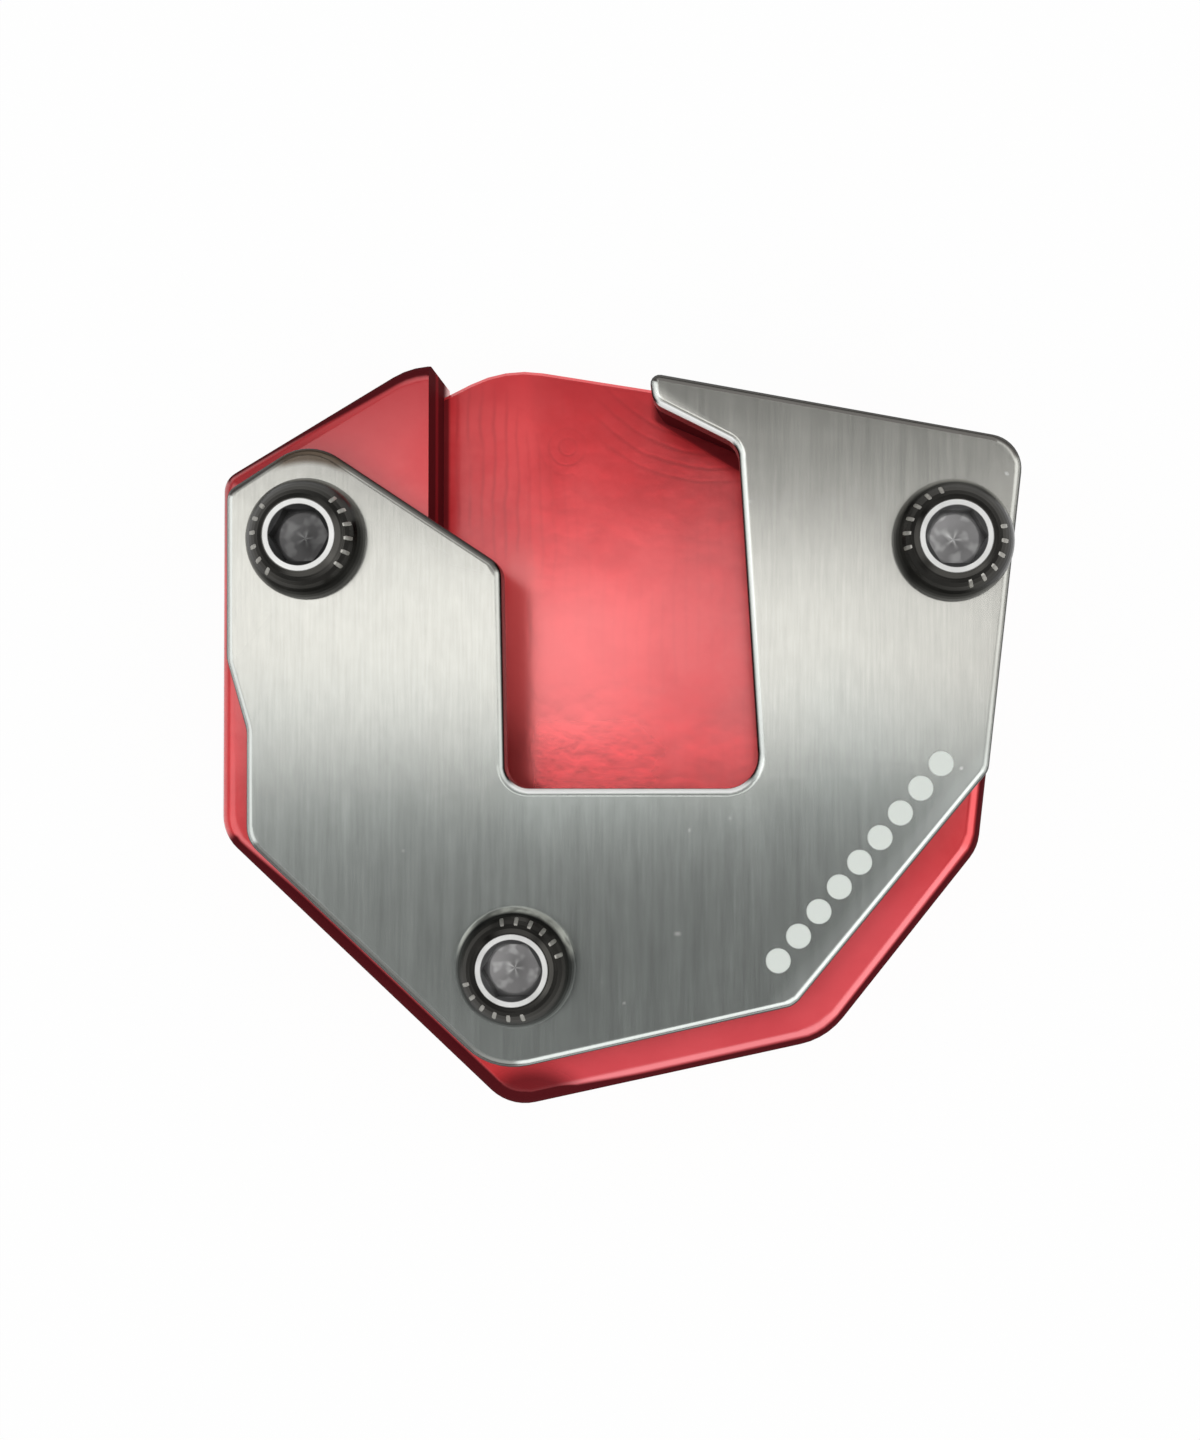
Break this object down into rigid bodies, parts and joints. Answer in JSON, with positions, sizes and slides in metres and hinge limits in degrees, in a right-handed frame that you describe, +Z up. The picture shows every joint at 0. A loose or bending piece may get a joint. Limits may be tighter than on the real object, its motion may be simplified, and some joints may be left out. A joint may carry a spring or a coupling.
{
  "type": "kickstand foot enlarger",
  "caption": "Pocketed anodised foot pad for a motorcycle side stand, closed by a brushed U-shaped clamp plate held down by domed socket screws.",
  "frame": {"origin": "under the middle of the bounding box, on the plane of the underside", "axes": "+Z up from the ground to the screw heads, +Y towards the open mouth of the pocket, +X to the right as seen from above with the mouth at the back"},
  "size_m": [0.0706, 0.0666, 0.0193],
  "materials": {
    "red_anodised": "red anodised, satin, with milling marks on the pocket floor",
    "brushed_plate": "brushed along Y, with bright rounded edges",
    "polished_screw": "polished stainless"
  },
  "bodies": {
    "root": {"base_plate": "red_anodised", "clamp_plate": "brushed_plate", "screw_left": "polished_screw", "screw_right": "polished_screw", "screw_front": "polished_screw"}
  },
  "joints": []
}
